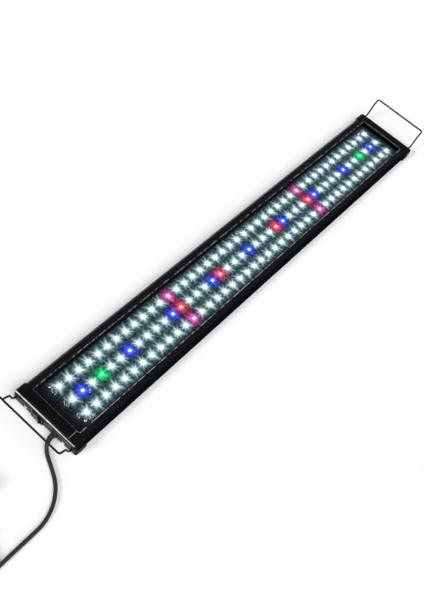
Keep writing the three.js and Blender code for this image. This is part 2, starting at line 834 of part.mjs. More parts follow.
function coilTie() {
  const [x, y] = coilCentre;
  const span = [y - 2.5, y + 2.5];
  const outside = box([x + coilInner - 1.4, x + coilOuter + 1.4], span, [0.2, coilHeight + 1.4]);
  return outside.subtract(box([x + coilInner - 0.4, x + coilOuter + 0.4],
    [y - 5, y + 5], [-1, coilHeight + 0.4]));
}

function insetSpan([start, end], inset) {
  return [start + inset, end - inset];
}

function adapterShell(bottom, top, floor, ceiling) {
  const [x0, x1] = adapterX;
  const [y0, y1] = adapterY;
  const bevel = 2;
  const across = outline([
    [y0 + bevel, 0], [y1 - bevel, 0], [y1, bevel], [y1, adapterHeight - bevel],
    [y1 - bevel, adapterHeight], [y0 + bevel, adapterHeight], [y0, adapterHeight - bevel],
    [y0, bevel],
  ]);
  const plan = roundedRectangle(x0, x1, y0, y1, adapterCorner);
  let shell = alongX(across, x0, x1).intersect(alongZ(plan, bottom, top));
  shell = shell.subtract(box(insetSpan(adapterX, adapterWall), insetSpan(adapterY, adapterWall),
    [floor, ceiling]));
  shell = shell.subtract(turnedAlongX(rodProfile(4 + fitGap, -5, 5),
    [x0, adapterMiddleY, adapterCordHeight]));
  for (const side of [-1, 1]) {
    const y = adapterMiddleY + side * bladeSpacing / 2;
    const halfThickness = bladeThickness / 2 + fitGap;
    const halfWidth = bladeWidth / 2 + fitGap;
    shell = shell.subtract(box([x1 - 5, x1 + 5], [y - halfThickness, y + halfThickness],
      [adapterSplit - halfWidth, adapterSplit + halfWidth]));
  }
  return shell;
}

function adapterBlade(side) {
  const y = adapterMiddleY + side * bladeSpacing / 2;
  const end = adapterX[1];
  return box([end - 7, end + bladeLength], [y - bladeThickness / 2, y + bladeThickness / 2],
    [adapterSplit - bladeWidth / 2, adapterSplit + bladeWidth / 2]);
}

function adapterStrainRelief() {
  const profile = [[0, -15.2], [3.7, -15.2], [5.2, -0.3], [4, -0.3], [4, 3.6], [0, 3.6]];
  return turnedAlongX(profile, [adapterX[0], adapterMiddleY, adapterCordHeight]);
}

const coilRing = turnedAlongZ(ringProfile(coilInner, coilOuter, 0, coilHeight),
  [...coilCentre, 0], 48);
const adapterBase = adapterShell(0, adapterSplit - fitGap / 2, adapterWall, adapterHeight);
const adapterCover = adapterShell(adapterSplit + fitGap / 2, adapterHeight,
  0, adapterHeight - adapterWall);
const adapterBoard = box(insetSpan(adapterX, 5), insetSpan(adapterY, 5),
  [adapterWall + 0.8, adapterWall + 2.4]);

model.add(named('lead_strain_relief', tube(vectors(reliefRoute), reliefRadius, leadSides),
  blackRubber));
model.add(named('lead', tube(vectors(leadRoute), leadRadius, leadSides), blackRubber));
model.add(named('lead_coil', coilRing, blackRubber));
model.add(named('coil_tie', coilTie(), blackPlastic));
model.add(named('lead_tail', tube(vectors(tailRoute), leadRadius, leadSides), blackRubber));
model.add(named('adapter_strain_relief', adapterStrainRelief(), blackRubber));
model.add(named('adapter_base', adapterBase, blackPlastic));
model.add(named('adapter_cover', adapterCover, blackPlastic));
model.add(named('adapter_board', adapterBoard, greenBoard));
model.add(named('adapter_blade_left', adapterBlade(1), steel));
model.add(named('adapter_blade_right', adapterBlade(-1), steel));

export default model;
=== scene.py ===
"""LED aquarium light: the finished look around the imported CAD. Metres, +Z up, +X plain end."""
import json
import math
import random

import bmesh
import bpy
from mathutils import Matrix, Vector


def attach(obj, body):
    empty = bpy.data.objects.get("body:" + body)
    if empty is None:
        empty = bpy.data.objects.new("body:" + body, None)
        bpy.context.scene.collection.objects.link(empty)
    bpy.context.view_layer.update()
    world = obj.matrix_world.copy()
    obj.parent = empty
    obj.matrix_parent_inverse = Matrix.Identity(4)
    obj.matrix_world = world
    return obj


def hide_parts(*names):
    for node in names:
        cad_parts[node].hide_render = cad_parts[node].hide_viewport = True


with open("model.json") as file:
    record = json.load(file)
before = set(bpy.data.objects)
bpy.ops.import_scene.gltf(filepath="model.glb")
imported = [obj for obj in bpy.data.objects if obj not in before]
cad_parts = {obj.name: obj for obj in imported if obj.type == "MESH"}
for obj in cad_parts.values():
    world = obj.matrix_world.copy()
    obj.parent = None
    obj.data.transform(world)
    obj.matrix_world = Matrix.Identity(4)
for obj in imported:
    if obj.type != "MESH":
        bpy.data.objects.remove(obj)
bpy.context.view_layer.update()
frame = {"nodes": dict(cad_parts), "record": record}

MM = 0.001
scene = bpy.context.scene
draw = random.Random(7)

# ---------- camera ----------

CAMERA_PLACE = (-0.8244, -0.3003, 1.0309)
CAMERA_RIGHT = (0.62706, -0.74302, 0.23391)
CAMERA_UP = (0.54464, 0.63288, 0.55030)
CAMERA_BACK = (-0.55692, -0.21768, 0.80154)
CAMERA_LENS = 49.47

camera_data = bpy.data.cameras.new("camera")
camera_data.lens = CAMERA_LENS
camera_data.clip_start = 0.01
camera_data.clip_end = 50
camera = bpy.data.objects.new("camera", camera_data)
scene.collection.objects.link(camera)
axes = Matrix((CAMERA_RIGHT, CAMERA_UP, CAMERA_BACK)).transposed().to_4x4()
camera.matrix_world = Matrix.Translation(CAMERA_PLACE) @ axes
scene.camera = camera
scene.view_settings.view_transform = "Standard"

# ---------- node and mesh helpers ----------


class Graph:
    """A material's nodes, added one call at a time."""

    def __init__(self, name):
        self.material = bpy.data.materials.new(name)
        self.material.use_nodes = True
        self.tree = self.material.node_tree
        self.shader = self.tree.nodes["Principled BSDF"]
        self.output = self.tree.nodes["Material Output"]

    def add(self, kind, inputs=None, **settings):
        node = self.tree.nodes.new(kind)
        for key, value in settings.items():
            setattr(node, key, value)
        for key, value in (inputs or {}).items():
            if isinstance(value, bpy.types.NodeSocket):
                self.tree.links.new(value, node.inputs[key])
            else:
                node.inputs[key].default_value = value
        return node

    def math(self, operation, first, second=0.0, third=0.0):
        values = {0: first, 1: second}
        if operation == "MULTIPLY_ADD":
            values[2] = third
        return self.add("ShaderNodeMath", values, operation=operation).outputs[0]

    def product(self, first, *others):
        for other in others:
            first = self.math("MULTIPLY", first, other)
        return first

    def within(self, value, low, high):
        """One between two limits, and zero outside them."""
        return self.product(self.math("GREATER_THAN", value, low),
                            self.math("LESS_THAN", value, high))

    def split(self, vector):
        return self.add("ShaderNodeSeparateXYZ", {0: vector}).outputs

    def local_place(self):
        return self.split(self.add("ShaderNodeTexCoord").outputs["Object"])

    def facing_y(self):
        """How far the surface faces +Y, from -1 to 1."""
        return self.split(self.add("ShaderNodeNewGeometry").outputs["Normal"])[1]

    def mixed(self, factor, first, second):
        inputs = {"Factor": factor, "A": first, "B": second}
        return self.add("ShaderNodeMix", inputs, data_type="RGBA").outputs[2]

    def scaled(self, vector, scale):
        inputs = {0: vector, "Scale": scale}
        return self.add("ShaderNodeVectorMath", inputs, operation="SCALE").outputs[0]

    def place(self, scale):
        """Object coordinates, stretched along each axis."""
        source = self.add("ShaderNodeTexCoord").outputs["Object"]
        return self.add("ShaderNodeMapping", {"Vector": source, "Scale": scale}).outputs[0]

    def noise(self, scale, detail, roughness, stretch=(1, 1, 1)):
        inputs = {"Vector": self.place(stretch), "Scale": scale, "Detail": detail,
                  "Roughness": roughness}
        return self.add("ShaderNodeTexNoise", inputs).outputs["Fac"]

    def between(self, factor, low, high, start=0.3, end=0.7):
        inputs = {"Value": factor, "From Min": start, "From Max": end,
                  "To Min": low, "To Max": high}
        return self.add("ShaderNodeMapRange", inputs).outputs[0]

    def colours(self, factor, dark, light):
        ramp = self.add("ShaderNodeValToRGB", {"Fac": factor})
        ramp.color_ramp.elements[0].position = 0.3
        ramp.color_ramp.elements[1].position = 0.7
        ramp.color_ramp.elements[0].color = (*dark, 1)
        ramp.color_ramp.elements[1].color = (*light, 1)
        return ramp.outputs[0]

    def bump(self, height, distance, strength):
        inputs = {"Height": height, "Distance": distance, "Strength": strength}
        normal = self.add("ShaderNodeBump", inputs).outputs[0]
        self.tree.links.new(normal, self.shader.inputs["Normal"])

    def set(self, **values):
        for key, value in values.items():
            socket = self.shader.inputs[key.replace("_", " ")]
            if isinstance(value, bpy.types.NodeSocket):
                self.tree.links.new(value, socket)
            else:
                socket.default_value = value


def new_piece(name, bm, material, body, slot, *replaced):
    """A mesh piece that rides on a body and stands for the named CAD nodes."""
    mesh = bpy.data.meshes.new(name)
    bm.to_mesh(mesh)
    bm.free()
    piece = bpy.data.objects.new(name, mesh)
    scene.collection.objects.link(piece)
    mesh.materials.append(material)
    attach(piece, body)
    if replaced:
        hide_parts(*replaced)
    return piece


def smooth_faces(bm, limit=35):
    """Smooth shading with creases kept where the surface turns by more than the limit."""
    for face in bm.faces:
        face.smooth = True
    for edge in bm.edges:
        edge.smooth = edge.is_manifold and edge.calc_face_angle(0) < math.radians(limit)


def body_of(node):
    for body, members in frame["record"]["behaviour"]["bodies"].items():
        if node in members:
            return body
    raise ValueError(node)


def slot_of(node):
    for part in frame["record"]["subparts"]:
        if part["node"] == node:
            return part["material_slot"]
    raise ValueError(node)


def finished(node, material, width, segments=2):
    """A CAD node with its flat faces merged and its edges rounded."""
    bm = bmesh.new()
    bm.from_mesh(frame["nodes"][node].data)
    bmesh.ops.remove_doubles(bm, verts=bm.verts, dist=2e-6)
    bmesh.ops.dissolve_limit(bm, angle_limit=math.radians(1), verts=bm.verts, edges=bm.edges)
    smooth_faces(bm)
    piece = new_piece(node + "_finished", bm, material, body_of(node), slot_of(node), node)
    rounding = piece.modifiers.new("rounding", "BEVEL")
    rounding.width = width
    rounding.segments = segments
    rounding.limit_method = "ANGLE"
    rounding.angle_limit = math.radians(38)
    rounding.use_clamp_overlap = False
    rounding.harden_normals = True
    return piece


def turned(bm, profile, matrix, segments=32):
    """A turned solid in bm: profile is (radius, height) pairs in millimetres, from axis to axis."""
    rings = []
    for radius, height in profile:
        if radius < 1e-6:
            rings.append([bm.verts.new(matrix @ Vector((0, 0, height * MM)))])
            continue
        ring = []
        for i in range(segments):
            angle = 2 * math.pi * i / segments
            place = Vector((radius * math.cos(angle), radius * math.sin(angle), height)) * MM
            ring.append(bm.verts.new(matrix @ place))
        rings.append(ring)
    for lower, upper in zip(rings, rings[1:]):
        for i in range(segments):
            k = (i + 1) % segments
            corners = [lower[i % len(lower)], lower[k % len(lower)],
                       upper[k % len(upper)], upper[i % len(upper)]]
            unique = list(dict.fromkeys(corners))
            if len(unique) > 2:
                bm.faces.new(unique)


def along(direction, place):
    """A matrix that turns +Z to the direction and moves to the place, given in millimetres."""
    turn = Vector(direction).to_track_quat("Z", "Y").to_matrix().to_4x4()
    return Matrix.Translation(Vector(place) * MM) @ turn


def arc_smoothed(points, step):
    """A smooth line through points, cut into even short steps."""
    line = []
    padded = [2 * points[0] - points[1], *points, 2 * points[-1] - points[-2]]
    for a, b, c, d in zip(padded, padded[1:], padded[2:], padded[3:]):
        count = max(1, round((c - b).length / step))
        for k in range(count):
            t = k / count
            line.append(0.5 * (2 * b + (c - a) * t + (2 * a - 5 * b + 4 * c - d) * t ** 2
                               + (3 * b - a - 3 * c + d) * t ** 3))
    line.append(points[-1].copy())
    return line


def sweep(bm, line, radius_at, sides):
    """A tube along a line of points, with its ends closed."""
    tangents = []
    for i in range(len(line)):
        tangents.append((line[min(i + 1, len(line) - 1)] - line[max(i - 1, 0)]).normalized())
    side = tangents[0].orthogonal().normalized()
    rings = []
    for i, (place, tangent) in enumerate(zip(line, tangents)):
        side = (side - tangent * side.dot(tangent)).normalized()
        up = tangent.cross(side)
        rings.append((place, side, up, radius_at(i)))
    loops = []
    for place, across, up, radius in rings:
        loop = []
        for k in range(sides):
            angle = 2 * math.pi * k / sides
            loop.append(bm.verts.new(
                place + (across * math.cos(angle) + up * math.sin(angle)) * radius))
        loops.append(loop)
    for a, b in zip(loops, loops[1:]):
        for k in range(sides):
            m = (k + 1) % sides
            bm.faces.new((a[k], a[m], b[m], b[k]))
    bm.faces.new(loops[0][::-1])
    bm.faces.new(loops[-1])


# ---------- materials ----------

# Painted highlight lines, in metres. On the body: the lips of the recess for the LEDs.
LIP_MIDDLE, LIP_HALF_WIDTH, LIP_ABOVE = 0.0444, 0.00055, 0.0192
PAINTED_LIP_HIGHLIGHT = (0.94, 0.96, 1, 1)
# On both caps: the edge beside the LEDs, above the height where the cap's top begins.
CAP_UPPER = 0.0187
WINDOW_LINE, WINDOW_HALF_WIDTH = (0.4230, 0.4243), 0.0436
# On the power end's cap: the long outer edge, a thin line under it on the face, a line across
# the cover and two stripes on the corner.
SHOULDER_LINE, SHOULDER_SPAN = (-0.4421, -0.4409), (-0.054, 0.059)
CAP_FACE, FACE_LINE, FACE_SPAN, FACE_LEVEL = -0.4431, (0.0160, 0.0170), (-0.05, 0.055), 0.3
ACROSS_LINE, ACROSS_SPAN = (-0.0412, -0.0399), (-0.4415, -0.4237)
ACROSS_ABOVE, ACROSS_LEVEL = 0.0212, 0.22
CORNER_STRIPES, CORNER_FROM, CORNER_LEVEL = ((0.0172, 0.0188), (0.0122, 0.0134)), 0.0574, 0.36

# The painted star of light round each LED, in millimetres on the board.
STAR_RAYS = 8
STAR_CORE, STAR_REACH = 5.1, 3.4     # fall-off between the rays, and what a ray adds
STAR_FALL = 2.1
CELL_FADE = (7.6, 9.5)               # the star is halved towards the next LED in the row
COOLER_FROM, COOLER_TO = 2.5, 7.0
COOLER = (0.8, 1, 1, 1)
WHOLE_TURN = 6.28


def anodised_black():
    g = Graph("anodised_black")
    lines = g.noise(1.0, 4, 0.6, (6, 2600, 2600))
    cloud = g.noise(38, 4, 0.55)
    black = g.colours(lines, (0.0018, 0.002, 0.0032), (0.0046, 0.0048, 0.0072))
    y, z = g.local_place()[1:3]
    # Painted highlight: thin pale dashed lines along both lips of the recess, brighter on the -Y
    # lip.
    from_lip = g.math("ABSOLUTE", g.math("SUBTRACT", g.math("ABSOLUTE", y), LIP_MIDDLE))
    lip_highlight = g.product(g.math("LESS_THAN", from_lip, LIP_HALF_WIDTH),
                    g.math("GREATER_THAN", z, LIP_ABOVE))
    dashes = g.between(g.noise(1.0, 2, 0.5, (190, 60, 60)), 0.08, 1.0, 0.44, 0.54)
    fainter = g.between(y, 0.5, 0.2, -0.03, 0.03)
    lip_highlight = g.product(lip_highlight, g.product(dashes, fainter))
    # Specular falls to nothing on faces turned towards -Y: painted shade on that side.
    g.set(Base_Color=g.mixed(lip_highlight, black, PAINTED_LIP_HIGHLIGHT), Roughness=g.between(cloud, 0.34, 0.46),
          Specular_IOR_Level=g.between(g.facing_y(), 0.0, 0.3, -0.5, 0.1))
    g.bump(lines, 0.00003, 0.35)
    return g.material


def painted_edge_highlights(g, black):
    """Painted highlights: pale lines along an end cap's edges and corner, where they catch the
    light.
    """
    x, y, z = g.local_place()
    upper = g.math("GREATER_THAN", z, CAP_UPPER)
    highlight_breaks = g.between(g.noise(1.0, 3, 0.6, (1800, 140, 1800)), 0.3, 0.85)
    shoulder = g.product(g.within(x, *SHOULDER_LINE), g.within(y, *SHOULDER_SPAN), upper, highlight_breaks)
    below = g.product(g.math("LESS_THAN", x, CAP_FACE), g.within(z, *FACE_LINE),
                      g.within(y, *FACE_SPAN), FACE_LEVEL)
    fainter = g.between(x, 0.15, 0.11, -0.1, 0.1)
    patchy = g.between(g.noise(1.0, 3, 0.6, (260, 260, 260)), 0.25, 1.1, 0.40, 0.56)
    window = g.product(g.within(g.math("ABSOLUTE", x), *WINDOW_LINE),
                       g.math("LESS_THAN", g.math("ABSOLUTE", y), WINDOW_HALF_WIDTH),
                       g.product(upper, fainter), patchy)
    across = g.product(g.within(y, *ACROSS_LINE), g.within(x, *ACROSS_SPAN),
                       g.product(g.math("GREATER_THAN", z, ACROSS_ABOVE), ACROSS_LEVEL))
    stripes = g.math("ADD", *[g.within(z, *stripe) for stripe in CORNER_STRIPES])
    corner = g.product(stripes, g.math("GREATER_THAN", y, CORNER_FROM),
                       g.product(g.math("LESS_THAN", x, 0.0), CORNER_LEVEL))
    lines = g.math("ADD", g.math("ADD", shoulder, window), g.math("ADD", across, corner))
    lines = g.math("ADD", lines, below)
    # The lines are painted white highlights mixed into the black.
    return g.mixed(lines, black, (1, 1, 1, 1))


def moulded_black(name, grain, roughness, edges=False):
    g = Graph(name)
    speckle = g.noise(grain, 2, 0.6)
    wear = g.noise(60, 5, 0.6)
    black = g.colours(wear, (0.0022, 0.002, 0.0022), (0.0042, 0.0038, 0.0039))
    # The cap's edges carry painted highlight lines.
    if edges:
        black = painted_edge_highlights(g, black)
    # Specular falls to nothing on faces turned towards -Y: painted shade on that side.
    g.set(Base_Color=black, Roughness=g.between(wear, roughness - 0.05, roughness + 0.08),
          Specular_IOR_Level=g.between(g.facing_y(), 0.02, 0.27, -0.5, 0.1))
    g.bump(speckle, 0.00004, 0.3)
    return g.material


def rubber_black():
    g = Graph("rubber_black")
    dust = g.noise(220, 6, 0.7)
    g.set(Base_Color=g.colours(dust, (0.006, 0.006, 0.006), (0.014, 0.014, 0.0145)),
          Roughness=g.between(dust, 0.55, 0.72))
    g.bump(g.noise(2400, 2, 0.5), 0.00004, 0.4)
    return g.material


def wire_black():
    g = Graph("wire_black")
    flow = g.noise(700, 3, 0.5)
    g.set(Base_Color=g.colours(flow, (0.004, 0.004, 0.0045), (0.008, 0.008, 0.0085)),
          Roughness=g.between(flow, 0.3, 0.42), Specular_IOR_Level=0.15)
    g.bump(flow, 0.00005, 0.3)
    return g.material


def bright_metal(name, dark, light, roughness):
    g = Graph(name)
    scratch = g.noise(900, 4, 0.6, (1, 1, 0.2))
    g.set(Base_Color=g.colours(scratch, dark, light), Metallic=1.0,
          Roughness=g.between(scratch, roughness - 0.06, roughness + 0.1))
    g.bump(scratch, 0.00002, 0.3)
    return g.material


def plain_moulding(name, dark, light, roughness):
    g = Graph(name)
    cloud = g.noise(300, 4, 0.6)
    g.set(Base_Color=g.colours(cloud, dark, light),
          Roughness=g.between(cloud, roughness - 0.06, roughness + 0.06))
    g.bump(cloud, 0.00004, 0.3)
    return g.material


def clear_lens():
    g = Graph("clear_lens")
    waves = g.noise(9, 2, 0.4)
    through = g.add("ShaderNodeBsdfTransparent", {"Color": (0.97, 0.985, 0.99, 1)})
    surface = g.add("ShaderNodeBump", {"Height": waves, "Distance": 0.0004, "Strength": 0.12})
    mirror = g.add("ShaderNodeBsdfGlossy", {"Color": (1, 1, 1, 1), "Roughness": 0.06,
                                            "Normal": surface.outputs[0]})
    share = g.add("ShaderNodeFresnel", {"IOR": 1.36}).outputs[0]
    outside = g.math("SUBTRACT", 1.0, g.add("ShaderNodeNewGeometry").outputs["Backfacing"])
    share = g.product(share, outside)
    mix = g.add("ShaderNodeMixShader", {0: share, 1: through.outputs[0],
                                        2: mirror.outputs[0]})
    g.tree.links.new(mix.outputs[0], g.output.inputs["Surface"])
    g.tree.nodes.remove(g.shader)
    return g.material


def lit_board():
    """Black solder mask, with light painted on as emission: the glow from the LEDs in pale streaks,
    and a star round each LED.
    """
    g = Graph("lit_board")
    local = g.add("ShaderNodeUVMap", uv_map="local").outputs[0]
    along_row, across_row = g.split(local)[:2]
    reach = g.add("ShaderNodeVectorMath", {0: local}, operation="LENGTH").outputs["Value"]
    angle = g.math("ARCTAN2", across_row, along_row)
    tint = g.add("ShaderNodeAttribute", attribute_name="tint")
    glow = g.add("ShaderNodeAttribute", attribute_name="glow")
    turn = g.product(tint.outputs["Alpha"], WHOLE_TURN)
    swing = g.math("ADD", g.product(angle, 2.0), g.product(turn, 7.0))
    swung = g.math("MULTIPLY_ADD", g.math("COSINE", swing), 0.22, angle)
    ray = g.math("COSINE", g.math("ADD", g.product(swung, STAR_RAYS), turn))
    ray = g.math("POWER", g.math("MULTIPLY_ADD", ray, 0.5, 0.5), 1.2)
    uneven = g.math("COSINE", g.math("ADD", g.product(angle, 3.0), g.product(turn, 5.0)))
    uneven = g.math("MULTIPLY_ADD", uneven, 0.45, 0.8)
    spread = g.math("MULTIPLY_ADD", g.product(ray, uneven), STAR_REACH, STAR_CORE)
    fall = g.math("POWER", g.math("DIVIDE", reach, spread), STAR_FALL)
    star = g.math("EXPONENT", g.product(fall, -1.0))
    sideways = g.math("ABSOLUTE", along_row)
    star = g.product(star, g.between(sideways, 1.0, 0.5, *CELL_FADE))
    outward = g.between(reach, 0.0, 1.0, COOLER_FROM, COOLER_TO)
    cooler = g.mixed(outward, (1, 1, 1, 1), COOLER)
    starlight = g.add("ShaderNodeVectorMath", {0: tint.outputs["Color"], 1: cooler},
                      operation="MULTIPLY").outputs[0]
    starlight = g.scaled(starlight, star)
    streaks = g.between(g.noise(1.0, 2, 0.6, (210, 330, 330)), 0.1, 2.1, 0.32, 0.68)
    haze = g.scaled(glow.outputs["Color"], streaks)
    light = g.add("ShaderNodeVectorMath", {0: starlight, 1: haze}, operation="ADD").outputs[0]
    mask = g.noise(500, 3, 0.5)
    g.set(Base_Color=g.colours(mask, (0.0018, 0.0012, 0.0035), (0.0034, 0.0026, 0.0062)),
          Roughness=g.between(mask, 0.32, 0.44), Specular_IOR_Level=0.15,
          Emission_Color=light, Emission_Strength=1.0)
    g.bump(mask, 0.00003, 0.3)
    return g.material


def lit_package():
    g = Graph("lit_package")
    tint = g.add("ShaderNodeAttribute", attribute_name="tint")
    cloud = g.noise(300, 4, 0.6)
    g.set(Base_Color=g.colours(cloud, (0.3, 0.33, 0.35), (0.42, 0.44, 0.46)), Roughness=0.4,
          Emission_Color=tint.outputs["Color"], Emission_Strength=0.75)
    g.bump(cloud, 0.00004, 0.3)
    return g.material


def lit_dome():
    g = Graph("lit_dome")
    tint = g.add("ShaderNodeAttribute", attribute_name="tint")
    cells = g.noise(1800, 2, 0.5)
    g.set(Base_Color=g.colours(cells, (0.06, 0.06, 0.05), (0.09, 0.09, 0.07)), Roughness=0.25,
          Emission_Color=tint.outputs["Color"], Emission_Strength=1.0)
    return g.material


ANODISED = anodised_black()
CAP = moulded_black("cap_moulding", 1500, 0.31, edges=True)
SHELL = moulded_black("shell_moulding", 1500, 0.31)
SWITCH = moulded_black("switch_moulding", 2200, 0.28)
RUBBER = rubber_black()
WIRE = wire_black()
STEEL = bright_metal("bright_steel", (0.5, 0.51, 0.53), (0.72, 0.73, 0.75), 0.26)
BRASS = bright_metal("contact_brass", (0.55, 0.36, 0.16), (0.8, 0.55, 0.28), 0.3)
PACKAGE = lit_package()
GREEN = plain_moulding("green_board", (0.02, 0.12, 0.06), (0.035, 0.2, 0.1), 0.4)
PAD = plain_moulding("grey_pad", (0.26, 0.28, 0.3), (0.34, 0.36, 0.38), 0.8)
TINNED = plain_moulding("tinned_solder", (0.5, 0.68, 0.72), (0.7, 0.86, 0.9), 0.35)
CHIP = plain_moulding("chip_body", (0.01, 0.01, 0.012), (0.02, 0.02, 0.024), 0.35)
RED = plain_moulding("red_insulation", (0.35, 0.01, 0.01), (0.5, 0.03, 0.02), 0.45)
IVORY = plain_moulding("ivory_block", (0.66, 0.66, 0.62), (0.78, 0.78, 0.74), 0.45)
LENS = clear_lens()
BOARD = lit_board()
DOME = lit_dome()

# ---------- supply lead ----------

# From here on the object's routes, profiles and named sizes are in millimetres. The steps of the
# two lines below, bevel widths and the floor are in metres.
LEAD_RADIUS = 2.75
LEAD_STEP = 0.0035
BOOT_STEP = 0.0006
RELIEF_ROUTE = [
    (-446.4, -19.5, 8), (-450.4, -19.5, 8), (-455.4, -21, 7.7), (-459.6, -23.2, 6.8),
    (-462.9, -25.6, 5.8),
]
LEAD_ROUTE = [
    (-468.8, -33.2, 3.3), (-472.7, -41, 2.8), (-480.6, -56.4, 2.8), (-485.2, -64.3, 2.8),
    (-490.8, -71.6, 2.8), (-497.2, -78.1, 2.8), (-504.4, -83.8, 2.8), (-512.2, -88.6, 2.8),
    (-520.6, -92.4, 2.8), (-529.3, -95.2, 2.8), (-538.3, -96.9, 2.8), (-547.5, -97.4, 2.8),
    (-561.3, -97.4, 2.8), (-575, -97.4, 2.8), (-588.8, -97.4, 2.8), (-602.6, -97.4, 2.8),
    (-616.4, -97.4, 2.8), (-627.5, -97.4, 2.8),
]
TAIL_ROUTE = [
    (-676.5, -51, 8.25), (-676.5, -44, 8.25), (-676.5, -37.1, 8.2), (-676.5, -30.5, 6.6),
    (-676.5, -24, 4.6), (-675.5, -16.2, 3.4), (-672.5, -9, 2.8), (-667.7, -2.8, 2.8),
    (-661.5, 2, 3.4), (-654.3, 5, 5.4), (-648.5, 5.9, 7.4), (-645.5, 6, 8), (-642.6, 6, 8),
]
COIL_CENTRE = Vector((-638, -58.9, 0))
COIL_OUTER_TURN = 38.5
COIL_INNER_TURN = 21.7
COIL_TURNS = 3
COIL_STEP = 10                       # degrees
LAYER_HEIGHTS = (2.8, 8.25)


def coil_points():
    """Three turns inwards on the floor, a quarter turn up, and three turns outwards on top."""
    points = []
    layer = COIL_TURNS * 360
    for k in range(0, 2 * layer + 90 + COIL_STEP, COIL_STEP):
        if k <= layer:
            inwards = k / layer
            height = LAYER_HEIGHTS[0]
        elif k <= layer + 90:
            inwards = 1
            rise = (k - layer) / 90
            rise = rise * rise * (3 - 2 * rise)
            height = LAYER_HEIGHTS[0] + rise * (LAYER_HEIGHTS[1] - LAYER_HEIGHTS[0])
        else:
            inwards = 1 - (k - layer - 90) / layer
            height = LAYER_HEIGHTS[1]
        radius = COIL_OUTER_TURN + (COIL_INNER_TURN - COIL_OUTER_TURN) * max(inwards, 0)
        angle = math.radians(-90 - k)
        arm = Vector((radius * math.cos(angle), radius * math.sin(angle), height))
        points.append(COIL_CENTRE + arm)
    return points


def metres(points):
    return [Vector(p) * MM for p in points]


lead_points = metres(RELIEF_ROUTE + LEAD_ROUTE) + metres(coil_points()) + metres(TAIL_ROUTE)
lead_line = arc_smoothed(lead_points, LEAD_STEP)
bm = bmesh.new()
sweep(bm, lead_line, lambda i: LEAD_RADIUS * MM, 14)
smooth_faces(bm)
supply_lead = new_piece("supply_lead", bm, RUBBER, "fixture", "black_rubber",
                        "lead", "lead_coil", "lead_tail")

# The moulded boot tapers along the lead and is ribbed.
BOOT_RADIUS, BOOT_TAPER = 4.3, 1.25
RIBS, RIB_HEIGHT, PLAIN_HEIGHT = 5, 0.35, 0.1
boot_line = arc_smoothed(metres(RELIEF_ROUTE), BOOT_STEP)[1:]


def boot_radius(i):
    share = i / (len(boot_line) - 1)
    wave = 0.5 + 0.5 * math.cos(share * 2 * math.pi * RIBS)
    rib = RIB_HEIGHT * wave if 0.12 < share < 0.92 else PLAIN_HEIGHT
    return (BOOT_RADIUS - BOOT_TAPER * share - RIB_HEIGHT + rib) * MM


bm = bmesh.new()
sweep(bm, boot_line, boot_radius, 24)
smooth_faces(bm, 60)
lead_boot = new_piece("lead_boot", bm, RUBBER, "fixture", "black_rubber", "lead_strain_relief")

# ---------- body, caps and the small pieces that keep their CAD shape ----------

BODY_HALF_LENGTH = 439.9
HALF_LENGTH = 443.5                  # over the end caps
LEG_OFFSET = 52.6
LEG_HEIGHT = 14.5
LEG_CHANNEL_RADIUS = 3.1
BODY_CORNERS = [
    # y, z, rounding
    (56, 0, 0.6), (57.5, 1.5, 0.6), (57.5, 17, 0.8), (54, 20, 0.8), (44, 20, 0.7),
    (44, 17.9, 0.2), (47, 17.9, 0.1), (47, 14.3, 0.1), (44, 14.3, 0.2), (44, 9.6, 0.5),
]
FIN_PITCH = 8
FIN_GROOVE = 3
FIN_DEPTH = 0.8
SIDE_LINES = [5.5, 11.5]             # heights of the fine grooves along each side
SIDE_LINE_DEPTH = 0.35
BACK_PLATE = 2.2
WEB_BOTTOM = 8
CHAMBERS = [(1, 32.2), (39, 55.5)]
NOTCH_START = 424.5
NOTCH_HALF_WIDTH = 31
NOTCH_TOP = 22
SIDE = BODY_CORNERS[1]               # the corner that the side grooves follow


def rounded_section(corners):
    """A closed outline in Y and Z with each corner rounded to its own radius."""
    points = []
    count = len(corners)
    for k in range(count):
        y, z, radius = corners[k]
        corner = Vector((y, z))
        back = Vector(corners[k - 1][:2]) - corner
        onward = Vector(corners[(k + 1) % count][:2]) - corner
        half = back.angle(onward) / 2
        reach = min(radius / math.tan(half), back.length * 0.45, onward.length * 0.45)
        start = corner + back.normalized() * reach
        end = corner + onward.normalized() * reach
        for i in range(5):
            t = i / 4
            points.append(start * (1 - t) ** 2 + corner * 2 * t * (1 - t) + end * t ** 2)
    return points


def body_half():
    half = []
    for i in range(1, 7):
        y = i * FIN_PITCH
        for dy, z in ((-1, 0), (-1, FIN_DEPTH), (1, FIN_DEPTH), (1, 0)):
            half.append((y + dy * FIN_GROOVE / 2, z, 0.25))
    for corner in BODY_CORNERS:
        half.append(corner)
        if corner == SIDE:
            for z in SIDE_LINES:
                half.append((SIDE[0], z - 0.5, 0.15))
                half.append((SIDE[0] - SIDE_LINE_DEPTH, z, 0.15))
                half.append((SIDE[0], z + 0.5, 0.15))
    return half


def block(bm, x, y, z):
    """A box between pairs of millimetre coordinates."""
    corners = [Vector((a, b, c)) * MM for a in x for b in y for c in z]
    made = [bm.verts.new(c) for c in corners]
    for face in ((0, 1, 3, 2), (4, 6, 7, 5), (0, 4, 5, 1), (2, 3, 7, 6), (0, 2, 6, 4),
                 (1, 5, 7, 3)):
        bm.faces.new([made[k] for k in face])


